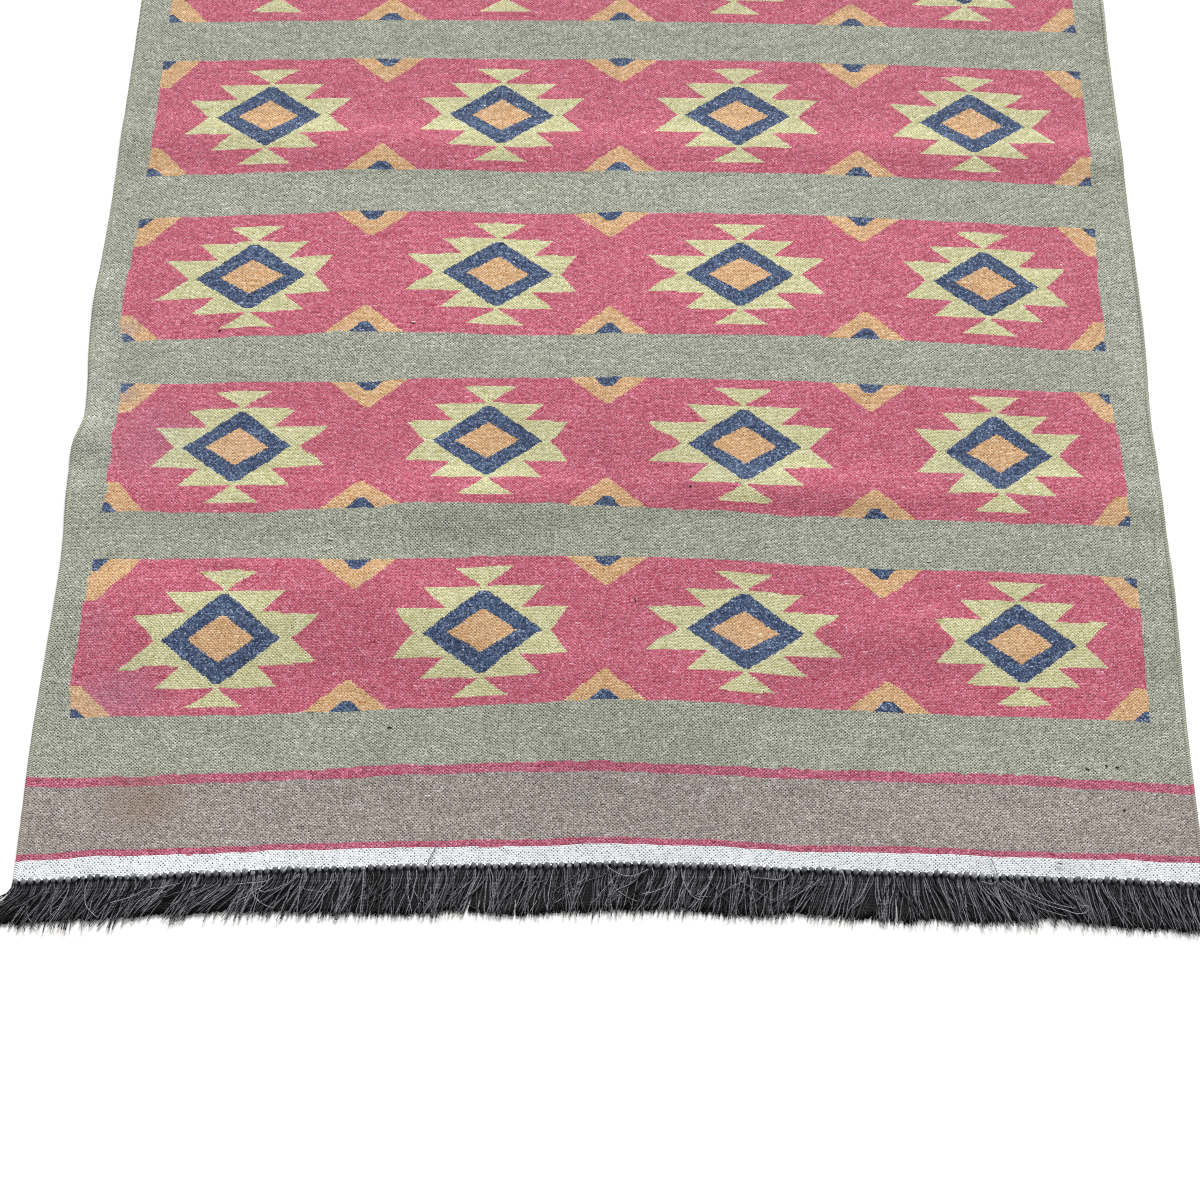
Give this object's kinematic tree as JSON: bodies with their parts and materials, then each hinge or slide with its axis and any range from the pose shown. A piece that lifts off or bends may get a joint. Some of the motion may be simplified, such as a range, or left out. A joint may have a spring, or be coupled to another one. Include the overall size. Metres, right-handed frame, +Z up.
{
  "type": "kilim rug",
  "caption": "Flat-woven kilim rug lying on the floor, with rows of stepped star medallions, striped ends and a knotted fringe along each end.",
  "frame": {"origin": "on the floor under the middle of the rug", "axes": "+X across the rug, +Y along its warps from the near end to the far end, +Z up from the floor"},
  "size_m": [1.841, 2.9729, 0.0091],
  "materials": {
    "wool_weave": "matt plain weave of mixed wool and jute yarn",
    "cotton_warp": "matt twisted cotton yarn"
  },
  "bodies": {
    "root": {"rug": "wool_weave", "fringe_near": "cotton_warp", "fringe_far": "cotton_warp"}
  },
  "joints": []
}
